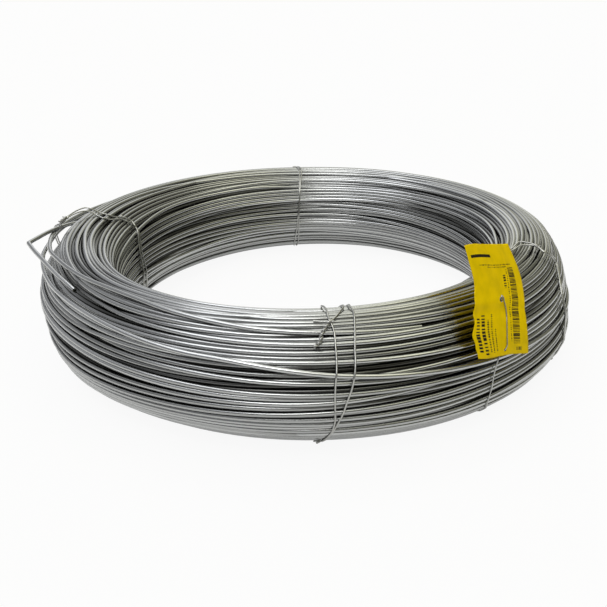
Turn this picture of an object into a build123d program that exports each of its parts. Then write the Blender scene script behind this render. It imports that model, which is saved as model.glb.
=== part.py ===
# Coil of galvanised steel wire, 50 kg, lying flat, held by four doubled wire ties and carrying a hanging tag.
# The origin is the middle of the coil's base and +Z is up. The tag and the front tie face -Y. Millimetres.

import os
from math import atan, cos, degrees, radians, sin, tan

from build123d import *

# Coil wire, and the coil that it is wound into
wire_diameter = 4.19
outer_diameter = 560.0
bore_diameter = 372.0
coil_height = 115.0
base_width = 26.0
eye_length = 34.0
rim_length = 26.0
end_turns = 7
turn_groove_depth = 1.6
band_step = 5.5
band_proud = 1.0
base_to_rim_bands = 2
rim_to_end_bands = 2
end_to_eye_bands = 2
eye_to_base_bands = 2

# Loose end of the coil wire beside the top edge: how far outward of the ring's middle, round it and below its
# top each point lies, the point where it is sharply kinked, and how much of each straight run its bends take
loose_end_route = [
    (8, 168, 14),
    (22, 175, 9),
    (32, -178, 5),
    (50, -168, 3),
    (32, -157, 4),
    (23, -146, 8),
    (12, -135, 14),
]
loose_end_kink = 3
kink_radius = 14.0
loose_end_bend_share = 0.45
loose_end_sides = 6

# Doubled wire ties: where each stands round the coil, and its twisted ends
tie_diameter = 1.65
tie_sides = 6
tie_facets = 12
tie_gap = 0.3
flush_gap = 0.2
notch_side_gap = 0.6
tie_seam = 0.2
strand_overlap = 0.1
tie_azimuths = {"tie_front": -85.0, "tie_right": -25.0, "tie_back": 95.0, "tie_left": 171.5}
knot_section_angles = {"tie_front": 70.0, "tie_right": 75.0, "tie_back": 85.0, "tie_left": 60.0}
knot_leans = {"tie_front": 55.0, "tie_right": 45.0, "tie_back": 15.0, "tie_left": 40.0}
knot_lengths = {"tie_front": 28.0, "tie_right": 12.0, "tie_back": 12.0, "tie_left": 14.0}
knot_pitch = 7.0
knot_steps = 4

# Tag, and the single wire that is threaded through its middle and holds it to the coil
tag_width = 56.0
tag_height = 92.0
tag_thickness = 0.6
tag_azimuth = -54.5
tag_section_angle = 56.0
tag_gap = 0.5
tag_pitch = 61.5
tag_roll = 14.0
tag_bend = 25.0
tag_hole_diameter = 5.0
tag_tie_diameter = 1.25
tag_tie_gap = 0.4

# Sizes worked out from the ones above
ring_radius = (outer_diameter + bore_diameter) / 4
half_width = (outer_diameter - bore_diameter) / 4
half_height = coil_height / 2
strand_shift = tie_diameter * (1 - strand_overlap) / 2
bend_radius = tag_height / radians(tag_bend)


def section_point(angle, inset=0.0, stretch=1.0):
    """Radius and height on the coil's oval section: 0 is outward, 90 is up."""
    radius = ring_radius + (half_width * stretch - inset) * cos(radians(angle))
    height = half_height + (half_height * stretch - inset) * sin(radians(angle))
    return radius, height


def turn_ridges(first_angle, last_angle):
    """Sharp ridges of single turns, side by side across the end of the coil."""
    step = (last_angle - first_angle) / end_turns
    corners = []
    for turn in range(end_turns):
        corners.append(section_point(first_angle + step * turn, turn_groove_depth))
        corners.append(section_point(first_angle + step * (turn + 0.5)))
    return corners


def land(middle_angle, half):
    """Ends of a flat, plain land that touches the oval at its middle."""
    return [section_point(middle_angle + side * half, stretch=1 / cos(radians(half))) for side in (-1, 1)]


def bands(first_angle, last_angle, count, tucked_first=True):
    """Bands of many turns that overlap like tiles, one edge of each deep beside the next one's proud edge."""
    step = (last_angle - first_angle) / count
    tucked = band_step - band_proud
    insets = (tucked, -band_proud) if tucked_first else (-band_proud, tucked)
    corners = []
    for band in range(count):
        for inset, edge in zip(insets, (band, band + 1)):
            corners.append(section_point(first_angle + step * edge, inset))
    return corners


def coil_section():
    """Corners of the turned section, from the base up the outside, over the end and down the bore."""
    base = degrees(atan(base_width / 2 / half_width))
    eye = degrees(atan(eye_length / 2 / half_height))
    rim = degrees(atan(rim_length / 2 / half_height))
    end = degrees(end_turns * wire_diameter / 2 / half_width)
    return (
        land(-90, base)
        + bands(-90 + base, -rim, base_to_rim_bands)
        + land(0, rim)
        + bands(rim, 90 - end, rim_to_end_bands)
        + turn_ridges(90 - end, 90 + end)
        + [section_point(90 + end, turn_groove_depth)]
        + bands(90 + end, 180 - eye, end_to_eye_bands, tucked_first=False)
        + land(180, eye)
        + bands(180 + eye, 270 - base, eye_to_base_bands, tucked_first=False)
    )


def radial_plane(azimuth, shift=0.0):
    """Upright plane through the axis, its x outward and its y up, moved sideways by the shift."""
    out = Vector(cos(radians(azimuth)), sin(radians(azimuth)))
    side = Vector(sin(radians(azimuth)), -cos(radians(azimuth)))
    return Plane(origin=side * shift, x_dir=out, z_dir=side)


def section_reach(angle):
    """How far the section reaches from its middle in one direction."""
    return max((r - ring_radius) * cos(angle) + (z - half_height) * sin(angle) for r, z in coil_section())


def tight_route(diameter):
    """Corners of a wire's middle line pulled tight round the section, one straight facet a direction."""
    offset = tie_gap + diameter / 2
    angles = [radians(360 * facet / tie_facets - 90) for facet in range(tie_facets)]
    reaches = [(angle, section_reach(angle) + offset) for angle in angles]
    base_facet, bore_facet = 0, tie_facets * 3 // 4
    reaches[base_facet] = (angles[base_facet], half_height - flush_gap - diameter / 2)
    reaches[bore_facet] = (angles[bore_facet], half_width - flush_gap - diameter / 2)
    corners = []
    for (angle, reach), (next_angle, next_reach) in zip(reaches, reaches[1:] + reaches[:1]):
        turn = sin(next_angle - angle)
        radius = (reach * sin(next_angle) - next_reach * sin(angle)) / turn
        height = (next_reach * cos(angle) - reach * cos(next_angle)) / turn
        corners.append((ring_radius + radius, half_height + height))
    return corners


def cylinder_point(outward, azimuth, below):
    """A point given from the ring's middle line and its top."""
    radius = ring_radius + outward
    return Vector(radius * cos(radians(azimuth)), radius * sin(radians(azimuth)), coil_height - below)


def loose_end_bends(points):
    """Bend radii that fit the straight runs beside each corner, with the kink's own radius at the kink."""
    radii = []
    for before, corner, after in zip(points, points[1:], points[2:]):
        half_turn = radians((corner - before).get_angle(after - corner)) / 2
        shorter = min((corner - before).length, (after - corner).length)
        radii.append(loose_end_bend_share * shorter / tan(half_turn))
    radii[loose_end_kink - 1] = kink_radius
    return radii


tie_grooves = [(azimuth, tie_diameter, 2) for azimuth in tie_azimuths.values()]
tie_grooves.append((tag_azimuth, tag_tie_diameter, 1))

# Coil, turned, with the loose end of its wire and the grooves that the ties lie in
with BuildPart() as wire_coil:
    with BuildSketch(Plane.XZ):
        with BuildLine():
            Polyline(*coil_section(), close=True)
        make_face()
    revolve(axis=Axis.Z)
    with BuildLine() as loose_end:
        points = [cylinder_point(*point) for point in loose_end_route]
        FilletPolyline(*points, radius=loose_end_bends(points))
    with BuildSketch(Plane(origin=loose_end.line @ 0, z_dir=loose_end.line % 0)):
        RegularPolygon(wire_diameter / 2, loose_end_sides)
    sweep(path=loose_end.line)
    for azimuth, diameter, strands in tie_grooves:
        depth = flush_gap + diameter + tie_gap
        with BuildSketch(radial_plane(azimuth)):
            with Locations((ring_radius, 0)):
                Rectangle(2 * half_width, 2 * depth)
            with Locations((bore_diameter / 2, half_height)):
                Rectangle(2 * depth, coil_height)
        extrude(amount=strands * diameter / 2 + notch_side_gap, both=True, mode=Mode.SUBTRACT)
wire_coil.part.label = "wire_coil"


def wire_route(azimuth, shift, diameter, seam_angle):
    """Middle line of one turn of tie wire, which starts and ends at a narrow seam in the given direction."""
    plane = radial_plane(azimuth, shift)
    corners = [plane.from_local_coords(Vector(*corner)) for corner in tight_route(diameter)]
    seam = round((seam_angle + 90) / 360 * tie_facets)
    middle = (corners[seam - 1] + corners[seam]) / 2
    along = (corners[seam] - corners[seam - 1]).normalized() * tie_seam / 2
    return [middle + along] + corners[seam:] + corners[:seam] + [middle - along]


def twist_route(name, strand):
    """Middle line of one of a tie's two twisted ends, which lean down from the outward direction."""
    azimuth = tie_azimuths[name]
    out = Vector(cos(radians(azimuth)), sin(radians(azimuth)))
    across = Vector(-sin(radians(azimuth)), cos(radians(azimuth)))
    heading = radians(knot_section_angles[name] - knot_leans[name])
    along = out * cos(heading) + Vector(0, 0, sin(heading))
    over = along.cross(across)
    start = wire_route(azimuth, 0, tie_diameter, knot_section_angles[name])[0]
    steps = round(knot_lengths[name] / knot_pitch * knot_steps)
    points = []
    for step in range(steps + 1):
        turn = radians(strand + 360 * step / knot_steps)
        advance = along * (knot_lengths[name] * step / steps)
        points.append(start + advance + (across * cos(turn) + over * sin(turn)) * strand_shift)
    return points


def doubled_tie(name):
    """A wire bent double, passed round the section and twisted at its ends, as one solid."""
    azimuth = tie_azimuths[name]
    routes = [wire_route(azimuth, shift, tie_diameter, knot_section_angles[name])
              for shift in (-strand_shift, strand_shift)]
    routes += [twist_route(name, strand) for strand in (0, 180)]
    with BuildPart() as tie:
        for route in routes:
            with BuildLine() as middle_line:
                Polyline(*route)
            with BuildSketch(Plane(origin=middle_line.line @ 0, z_dir=middle_line.line % 0)):
                RegularPolygon(tie_diameter / 2, tie_sides)
            sweep(path=middle_line.line, transition=Transition.RIGHT)
    tie.part.label = name
    return tie.part


def tag_plane(lift):
    """Plane of the tag at the hole in its middle: x along its width, y up the sheet, z away from the coil."""
    out = Vector(cos(radians(tag_azimuth)), sin(radians(tag_azimuth)))
    place = radial_plane(tag_azimuth).from_local_coords(Vector(*section_point(tag_section_angle, -lift)))
    level = Vector(0, 0, 1).cross(out)
    width = level * cos(radians(tag_roll)) - Vector(0, 0, 1) * sin(radians(tag_roll))
    upright = out.cross(width)
    normal = out * sin(radians(tag_pitch)) + upright * cos(radians(tag_pitch))
    return Plane(origin=place, x_dir=width, z_dir=normal)


def sheet_point(sheet, aside, up, off):
    """A point off the front of the curved sheet, beside and above its hole."""
    turn = up / bend_radius
    reach = bend_radius + off
    return (sheet.origin + sheet.x_dir * aside + sheet.y_dir * (reach * sin(turn))
            + sheet.z_dir * (reach * cos(turn) - bend_radius))


def tag_lift():
    """How far the hole stands off the section for the whole sheet's back to clear it by the tag's gap."""
    angles = [radians(4 * step) for step in range(90)]
    reaches = [(angle, section_reach(angle)) for angle in angles]
    lift = 0.0
    for attempt in range(40):
        sheet = tag_plane(lift)
        clearances = []
        for aside in (-tag_width / 2, 0, tag_width / 2):
            for step in range(-8, 9):
                point = sheet_point(sheet, aside, tag_height * step / 16, -tag_thickness / 2)
                radius = (point.X**2 + point.Y**2)**0.5 - ring_radius
                height = point.Z - half_height
                outside = [radius * cos(angle) + height * sin(angle) - reach for angle, reach in reaches]
                clearances.append(max(outside))
        lift += tag_gap - min(clearances)
    return lift


def tag_point(sheet, up, off):
    """A point off the front of the curved sheet, in the upright plane through the axis and the hole."""
    level = radial_plane(tag_azimuth).z_dir
    aside = -up * sheet.y_dir.dot(level) / sheet.x_dir.dot(level)
    return sheet_point(sheet, aside, up, off)


def tag_tie_route(sheet):
    """Round the section, tight up to the sheet's lower edge, over its front and through its hole."""
    plane = radial_plane(tag_azimuth)
    tight = [plane.to_local_coords(point) for point in wire_route(tag_azimuth, 0, tag_tie_diameter, 90)]
    off = tag_thickness / 2 + tag_tie_gap + tag_tie_diameter / 2
    below_edge = -tag_height / 2 - tag_tie_diameter
    edge = plane.to_local_coords(tag_point(sheet, below_edge, off))
    top_end = tight.pop()
    while tight[-1].Y > edge.Y or (tight[-1] - tight[-2]).cross(edge - tight[-1]).Z < 0:
        tight.pop()
    around = [plane.from_local_coords(point) for point in tight]
    over_front = [tag_point(sheet, up, off) for up in (below_edge, -tag_height * 0.3, -tag_height * 0.12)]
    beside_hole = tag_point(sheet, -(tag_hole_diameter + tag_tie_diameter) / 2, off * 1.2)
    return around + over_front + [beside_hole, tag_point(sheet, 0, 0), plane.from_local_coords(top_end)]


ties = [doubled_tie(name) for name in tie_azimuths]
sheet = tag_plane(tag_lift())

with BuildPart() as tag_tie:
    with BuildLine() as middle_line:
        Polyline(*tag_tie_route(sheet))
    with BuildSketch(Plane(origin=middle_line.line @ 0, z_dir=middle_line.line % 0)):
        RegularPolygon(tag_tie_diameter / 2, tie_sides)
    sweep(path=middle_line.line, transition=Transition.RIGHT)
tag_tie.part.label = "tag_tie"

# Tag, a thin sheet bent along its height, with a hole in its middle
with BuildPart() as tag:
    with BuildSketch(Plane(origin=sheet.origin, x_dir=sheet.y_dir, z_dir=sheet.x_dir)):
        with BuildLine():
            front = CenterArc((0, -bend_radius), bend_radius + tag_thickness / 2, 90 - tag_bend / 2, tag_bend)
            back = CenterArc((0, -bend_radius), bend_radius - tag_thickness / 2, 90 - tag_bend / 2, tag_bend)
            Line(front @ 0, back @ 0)
            Line(front @ 1, back @ 1)
        make_face()
    extrude(amount=tag_width / 2, both=True)
    with BuildSketch(sheet):
        Circle(tag_hole_diameter / 2)
    extrude(amount=tag_thickness, both=True, mode=Mode.SUBTRACT)
tag.part.label = "tag"

os.makedirs("parts", exist_ok=True)
export_step(wire_coil.part, "parts/wire_coil.step")
for tie in ties:
    export_step(tie, f"parts/{tie.label}.step")
export_step(tag_tie.part, "parts/tag_tie.step")
export_step(tag.part, "parts/tag.step")
print("coil", round(wire_coil.part.volume / 1e6, 3), "litres,", len(wire_coil.part.faces()), "faces;",
      "tag hole stands off", round(tag_lift(), 2), "mm")
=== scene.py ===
# %% [markdown]
# # A coil of galvanised steel wire
# The coil is one long drawn wire, dipped in zinc and wound into some three hundred turns. Four doubled tie
# wires keep the turns together and a yellow card tag hangs on its own wire. A solid ring from the
# construction model says how big everything is and where it stands. This script dresses that ring: it lays
# the single turns one by one, because their crossings, gaps and bright lines are what makes a coil a coil.

from math import cos, pi, radians, sin

import bpy
import numpy as np
from mathutils import Matrix, Vector


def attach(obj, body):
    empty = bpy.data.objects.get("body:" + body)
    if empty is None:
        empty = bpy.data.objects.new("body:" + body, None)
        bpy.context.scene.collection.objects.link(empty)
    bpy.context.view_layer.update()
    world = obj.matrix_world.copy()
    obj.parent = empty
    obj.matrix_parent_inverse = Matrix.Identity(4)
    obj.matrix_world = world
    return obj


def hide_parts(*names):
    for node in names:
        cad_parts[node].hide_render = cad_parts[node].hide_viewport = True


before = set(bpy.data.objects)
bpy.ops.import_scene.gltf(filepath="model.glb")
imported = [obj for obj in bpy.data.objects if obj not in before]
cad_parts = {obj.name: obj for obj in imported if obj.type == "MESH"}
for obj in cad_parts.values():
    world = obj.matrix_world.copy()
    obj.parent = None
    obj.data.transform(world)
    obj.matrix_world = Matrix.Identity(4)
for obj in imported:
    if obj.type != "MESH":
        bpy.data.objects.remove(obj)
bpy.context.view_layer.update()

mm = 0.001
wire_diameter = 4.19
outer_diameter, bore_diameter, coil_height = 560.0, 372.0, 115.0
ring_radius = (outer_diameter + bore_diameter) / 4
half_width = (outer_diameter - bore_diameter) / 4
half_height = coil_height / 2
lean = -0.062
print("ring of", ring_radius, "mm radius, section", 2 * half_width, "by", coil_height, "mm")


# %% [markdown]
# The camera stands where the photographer stood: a little under 0.8 m from the coil's middle and 26 degrees
# above the floor. It is turned by a few degrees, and the lens is shifted by the rest of the way that the
# coil lies off the picture's middle, because turning further would change how round the coil looks.

# %% Camera
def in_scene(name, data):
    """A new object with this data, linked to the scene."""
    thing = bpy.data.objects.new(name, data)
    bpy.context.scene.collection.objects.link(thing)
    return thing


distance, elevation, pan, tilt, roll = 0.7766, 25.92, 3.53, 0.30, 0.23
up_angle, look_down, turn = radians(elevation), radians(elevation + tilt), radians(roll)
ahead = Vector((sin(radians(pan)) * cos(look_down), cos(radians(pan)) * cos(look_down), -sin(look_down)))
right = ahead.cross(Vector((0, 0, 1))).normalized()
up = right.cross(ahead)
right, up = right * cos(turn) + up * sin(turn), up * cos(turn) - right * sin(turn)
lens = bpy.data.cameras.new("photo_camera")
lens.lens, lens.sensor_width = 39.72, 36.0
lens.shift_x, lens.shift_y = -0.0847, 0.0199
camera = in_scene("photo_camera", lens)
camera_place = Vector((-lean * half_height * mm, -cos(up_angle) * distance, sin(up_angle) * distance))
camera.matrix_world = Matrix.Translation(camera_place) @ Matrix((right, up, -ahead)).transposed().to_4x4()
bpy.context.scene.camera = camera
print("camera at", [round(v, 3) for v in camera_place], "m, lens", lens.lens, "mm")


# %% [markdown]
# Every material here is a net of nodes. A few helpers keep such nets short to write: one makes a node and
# feeds its inputs, and the others do a sum, a soft step, a mix of two colours and a new material.

# %% Helpers for node nets
def link(tree, start, end):
    """Join an output to an input."""
    tree.links.new(start, end)


def node(tree, kind, inputs=(), family="ShaderNode", **settings):
    """A new node with its settings; an input gets a plain value or another node's output."""
    made = tree.nodes.new(family + kind)
    for name, value in settings.items():
        setattr(made, name, value)
    for entry, value in dict(inputs).items():
        if isinstance(value, bpy.types.NodeSocket):
            link(tree, value, made.inputs[entry])
        else:
            made.inputs[entry].default_value = value
    return made


def calc(tree, operation, *values):
    """The result of a sum over plain values and outputs."""
    return node(tree, "Math", enumerate(values), operation=operation).outputs[0]


def eased(tree, value, low, high):
    """A soft step from 0 to 1 as the value goes from low to high."""
    step = node(tree, "MapRange", {"Value": value, "From Min": low, "From Max": high},
                interpolation_type="SMOOTHSTEP")
    return step.outputs["Result"]


def mixed(tree, share, first, second, blend="MIX"):
    """Two colours mixed by a share."""
    return node(tree, "Mix", {"Factor": share, 6: first, 7: second}, data_type="RGBA",
                blend_type=blend).outputs[2]


def new_finish(name):
    """A new material, its node tree and its surface shader."""
    finish = bpy.data.materials.new(name)
    finish.use_nodes = True
    return finish, finish.node_tree, finish.node_tree.nodes["Principled BSDF"]


# %% [markdown]
# Bright metal shows what stands round it, so the surroundings are most of the material. A small room is
# painted on the sky: pale card behind the coil that darkens to its sides, a cool window side on the left, a
# warm dim side on the right and dim air where the photographer stands. A ring of light high up gives each
# turn its thin bright line all the way round, which one lamp can't do.

# %% Light
def sky_levels(tree, height, levels):
    """A grey that follows the height above the horizon."""
    ramp = node(tree, "ValToRGB", {0: height})
    while len(ramp.color_ramp.elements) < len(levels):
        ramp.color_ramp.elements.new(0.5)
    for element, (level, grey) in zip(ramp.color_ramp.elements, levels):
        element.position = level
        element.color = (grey, grey, grey, 1)
    return ramp.outputs[0]


def studio_room(front, back, behind, sides, ring, tint_reach, left_tint, right_tint, white):
    """A world: height ramps before and behind the coil, dark to the sides behind it, and a ring of light."""
    world = bpy.data.worlds.new("studio_room")
    bpy.context.scene.world = world
    world.use_nodes = True
    tree = world.node_tree
    place = node(tree, "TexCoord")
    x, y, z = node(tree, "SeparateXYZ", {0: place.outputs["Generated"]}).outputs
    depth_share = eased(tree, y, *behind)
    grey = mixed(tree, depth_share, sky_levels(tree, z, front), sky_levels(tree, z, back))
    near, far, dark = sides
    edge = calc(tree, "MULTIPLY", eased(tree, calc(tree, "ABSOLUTE", x), near, far), depth_share)
    grey = mixed(tree, edge, grey, (dark, dark, dark, 1), "MULTIPLY")
    low, high, outer, inner, strength = ring
    ring_share = calc(tree, "SUBTRACT", eased(tree, z, low - outer, low + inner),
                      eased(tree, z, high - inner, high + outer))
    grey = mixed(tree, ring_share, grey, (strength, strength, strength, 1))
    tint = mixed(tree, eased(tree, x, -tint_reach, tint_reach), left_tint, right_tint)
    air = mixed(tree, 1.0, grey, tint, "MULTIPLY")
    seen = mixed(tree, node(tree, "LightPath").outputs["Is Camera Ray"], air, (white, white, white, 1))
    link(tree, seen, tree.nodes["Background"].inputs["Color"])


def soft_sun(name, azimuth, elevation, strength, width):
    """A sun so wide that it works as a round softbox in the sky."""
    data = bpy.data.lights.new(name, "SUN")
    data.energy, data.angle = strength, radians(width)
    toward = Vector((cos(radians(azimuth)) * cos(radians(elevation)),
                     sin(radians(azimuth)) * cos(radians(elevation)), sin(radians(elevation))))
    in_scene(name, data).rotation_euler = toward.to_track_quat("Z", "Y").to_euler()


studio_room(front=[(0.0, 0.14), (0.3, 0.18), (0.6, 0.30), (0.8, 0.5), (1.0, 0.9)],
            back=[(0.0, 0.95), (0.3, 0.92), (0.75, 0.85), (1.0, 0.9)],
            behind=(-0.25, 0.85), sides=(0.14, 0.60, 0.25), ring=(0.84, 0.93, 0.03, 0.01, 2.1),
            tint_reach=0.55, left_tint=(1.32, 1.34, 1.40, 1), right_tint=(0.76, 0.75, 0.57, 1), white=0.975)
soft_sun("key_softbox", azimuth=-112, elevation=60, strength=0.45, width=25)
bpy.context.scene.view_settings.view_transform = "Standard"


# %% [markdown]
# The floor is pale card that the camera sees as nearly white and the metal as light grey. Its own surface
# shows through a little, and that keeps the coil's soft shadow.

# %% Floor
def pale_floor(size, grey, roughness, whiteness, in_metal):
    """A wide card, whitened for the camera's rays and, by the share in_metal, for reflected ones."""
    mesh = bpy.data.meshes.new("pale_floor")
    corners = [(-size, -size, 0), (size, -size, 0), (size, size, 0), (-size, size, 0)]
    mesh.from_pydata(corners, [], [(0, 1, 2, 3)])
    card, tree, surface = new_finish("pale_card")
    surface.inputs["Base Color"].default_value = (grey, grey, grey, 1)
    surface.inputs["Roughness"].default_value = roughness
    path = node(tree, "LightPath").outputs
    reflected = calc(tree, "ADD", path["Is Glossy Ray"], path["Is Transmission Ray"])
    seen = calc(tree, "MULTIPLY_ADD", reflected, in_metal, path["Is Camera Ray"])
    share = node(tree, "Math", {0: seen, 1: whiteness}, operation="MULTIPLY", use_clamp=True)
    white = node(tree, "Emission")
    blend = node(tree, "MixShader", {0: share.outputs[0], 1: surface.outputs[0], 2: white.outputs[0]})
    link(tree, blend.outputs[0], tree.nodes["Material Output"].inputs["Surface"])
    mesh.materials.append(card)
    floor = in_scene("pale_floor", mesh)


pale_floor(size=40, grey=0.8, roughness=0.9, whiteness=0.92, in_metal=0.45)


# %% [markdown]
# A wound coil isn't a stack of rings. The wire climbs and falls from layer to layer, neighbouring turns lie
# side by side in bands, and the bands wander and cross under and over each other. Here the whole wire is one
# list of places on the ring's oval section. It starts from a tidy winding, gets smooth slow wanderings, and
# is then pushed apart wherever two turns would share the same space, as real wires do.

# %% Winding order and slow wandering
turns, stations = 318, 48
section_half = np.array([half_width, half_height]) - wire_diameter / 2
dice = np.random.default_rng(4)


def winding_order():
    """Section place of each turn, up and down in columns from the bore outwards."""
    pitch = (pi * section_half.prod() / turns) ** 0.5
    places = []
    while len(places) < turns:
        places = []
        columns = round(2 * section_half[0] / pitch)
        for column in range(columns):
            x = section_half[0] * ((column + 0.5) * 2 / columns - 1)
            tall = section_half[1] * (1 - (x / section_half[0]) ** 2) ** 0.5
            heights = np.linspace(-tall, tall, max(2, round(2 * tall / pitch)))
            places += [(x, z) for z in heights[:: -1 if column % 2 else 1]]
        pitch *= 0.995
    return np.array(places[:turns])


def smooth_line(count, spacing):
    """A smooth random line of about unit size with bumps about `spacing` values apart."""
    knots = dice.normal(size=int(count / spacing) + 5) * 1.6
    at = np.arange(count) / spacing + 1
    k = at.astype(int)
    t = at - k
    parts = (1 - t) ** 3, 3 * t**3 - 6 * t**2 + 4, -3 * t**3 + 3 * t**2 + 3 * t + 1, t**3
    return sum(part * knots[k + step - 1] for step, part in enumerate(parts)) / 6


def wound_places(swell, wanders, lap):
    """The whole wire before anything is pushed apart: one section place for every station of every turn."""
    along = np.arange(turns * stations) / stations
    turn = np.minimum(along.astype(int), turns - 1)
    share = along - turn
    share = (share * share * (3 - 2 * share))[:, None]
    order = winding_order() * swell
    places = order[turn] * (1 - share) + order[np.minimum(turn + 1, turns - 1)] * share
    for axis in (0, 1):
        for cycles, size in wanders:
            for wave in (np.cos, np.sin):
                wander = smooth_line(len(along), lap * stations)
                places[:, axis] += size * wander * wave(2 * pi * cycles * along)
    return places


def oval_place(angle, deep):
    """A section place at some depth below the oval, in the direction that the angle gives."""
    return (half_width - deep) * cos(radians(angle)), (half_height - deep) * sin(radians(angle))


def knotted(knots, azimuths):
    """A smooth route through rows of (azimuth, outward, up, ...), read at the azimuths."""
    knots = np.array(knots, float)
    slopes = np.gradient(knots[:, 1:], knots[:, 0], axis=0)
    k = np.clip(np.searchsorted(knots[:, 0], azimuths) - 1, 0, len(knots) - 2)
    span = (knots[k + 1, 0] - knots[k, 0])
    t = ((azimuths - knots[k, 0]) / span)[:, None]
    span = span[:, None]
    return ((2 * t**3 - 3 * t**2 + 1) * knots[k, 1:] + (t**3 - 2 * t**2 + t) * span * slopes[k]
            + (3 * t**2 - 2 * t**3) * knots[k + 1, 1:] + (t**3 - t**2) * span * slopes[k + 1])


start_places = wound_places(swell=1.2, wanders=((0, 2.6), (1, 4.2), (2, 1.5), (3, 0.5)), lap=8.0)

# Turns that slipped out of the bundle on the left, as (azimuth, outward, up), the wide places from which the
# other turns are gone, as (azimuth, outward, up, radius), and the narrow dark grooves in the surface, as a
# radius, a depth and rows of (azimuth, section angle)
slipped_turns = {
    "outer": [(100, 12, 38), (135, 20, 44), (160, 26, 48), (175, 33, 49), (182, 35, 48.5), (189, 32, 49),
              (197, 27, 50.5), (203, 21.5, 52.5), (211, 16.5, 54), (219, 13, 55), (226, 10, 55.5),
              (235, 9, 55), (244, 12, 53.5), (251, 14, 52), (260, 17, 50), (275, 19, 47), (292, 20, 43)],
    "bulging": [(130, 20, 36), (160, 33, 41), (179, 39, 42.5), (184.6, 38.9, 40.5), (190.3, 40.4, 37.5),
                (194.5, 38.6, 35.5), (203.7, 34.4, 35.5), (215, 32.4, 39), (226, 32.6, 39.6),
                (233, 33.6, 38.4), (241, 35.2, 36.2), (249, 36.6, 34), (257, 37.5, 32.4),
                (264.5, 39.6, 28.6), (273.5, 41.8, 23.4), (290, 44, 16), (310, 44, 9), (340, 40, 2),
                (370, 34, -3)],
}
hollows = [
    [(204, 21, 51, 0), (207, 22, 50.5, 4), (213.5, 24, 49.5, 6), (220, 25, 48.5, 7), (227, 27.5, 46.5, 6.5),
     (235, 28.5, 45.5, 5), (244, 29, 46, 3.5), (252, 30, 44.5, 0)],
    [(216, 40, 31, 0), (220, 41, 28, 3.5), (227, 42.5, 25, 4), (235, 43.5, 21, 3.5), (243, 44.5, 18, 3),
     (252, 45.5, 15, 0)],
]
grooves = [
    (1.7, 2.2, [(250, 49), (259, 44), (266, 45), (273, 46), (279, 46), (286, 45), (292, 44), (299, 44),
                (306, 42)]),
    (1.7, 2.1, [(250, 16.5), (259, 16), (265, 15), (272, 13), (280, 14), (286, 15), (290, 12), (297, 9),
                (303, 8), (310, 2), (318, -6), (326, -9)]),
    (4.0, 4.0, [(309, 41), (315, 38), (320, 36), (325, 34)]),
    (1.4, 1.8, [(256, 65), (265, 68), (272, 69)]),
    (1.4, 1.8, [(273, 69), (282, 67), (290, 71), (295, 72)]),
    (1.4, 1.9, [(256, -21), (266, -18), (272, -12), (276, -10)]),
    (1.3, 1.8, [(264, -10), (273, -4), (280, -1), (286, 0)]),
    (1.4, 1.9, [(277, -25), (284, -20), (290, -14), (298, -8), (306, -7)]),
    (1.5, 2.0, [(287, -27), (294, -25), (301, -26), (308, -28), (319, -37)]),
    (2.2, 2.4, [(22, 123), (49, 131), (67, 135), (88, 137), (110, 139), (128, 140), (148, 140),
                (156, 140)]),
    (2.4, 2.6, [(15, 148), (47, 157), (71, 161), (93, 163), (112, 164), (130, 161), (146, 159)]),
    (2.2, 2.4, [(21, 183), (46, 180), (66, 179), (85, 184), (103, 185), (122, 182), (145, 180)]),
    (2.0, 2.2, [(77, 208), (95, 207), (113, 207)]),
    (2.2, 2.4, [(338, 114), (352, 132), (371, 144)]),
    (2.2, 2.6, [(182, 84), (189, 83), (194, 79), (201, 78), (209, 78), (216, 79), (222, 78), (228, 78)]),
    (2.2, 2.6, [(183, 99), (188, 97), (195, 92), (204, 89), (213, 86), (219, 83), (226, 83), (232, 83)]),
    (2.4, 3.0, [(178, 108), (185, 108), (193, 108), (204, 107), (214, 101), (223, 95), (230, 92)]),
    (2.4, 3.0, [(201, 73), (207, 70), (212, 61), (219, 54), (225, 50), (231, 45), (236, 42)]),
    (2.2, 2.6, [(206, 52), (211, 47), (216, 41), (222, 36), (228, 31), (233, 26), (239, 23)]),
    (2.2, 2.4, [(8, 38), (40, 34), (75, 28), (110, 30), (150, 36)]),
    (2.2, 2.4, [(-10, 2), (25, -6), (60, -2), (95, -8), (130, -3)]),
    (2.0, 2.2, [(50, 66), (85, 62), (120, 68)]),
    (2.0, 2.2, [(20, -40), (60, -36), (110, -44), (150, -38)]),
    (1.2, 1.6, [(195, -8), (215, -14), (240, -10), (252, -12)]),
    (1.2, 1.6, [(190, -34), (205, -38), (222, -33)]),
]


end_share = 0.3


def kept_free():
    """Rows of (station, outward, up, radius) that the wound turns have to make way for."""
    routes = [[(*knot, wire_diameter / 2) for knot in route] for route in slipped_turns.values()] + hollows
    for radius, deep, places in grooves:
        ends = 0, len(places) - 1
        routes.append([(azimuth, *oval_place(angle, deep), radius * (end_share if k in ends else 1))
                       for k, (azimuth, angle) in enumerate(places)])
    rows = []
    for knots in routes:
        steps = np.arange(np.ceil(knots[0][0] / 360 * stations), knots[-1][0] / 360 * stations)
        for step, (outward, up, radius) in zip(steps, knotted(knots, steps * 360 / stations)):
            rows.append((step % stations, outward, up, radius))
    return np.array(rows)


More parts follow.
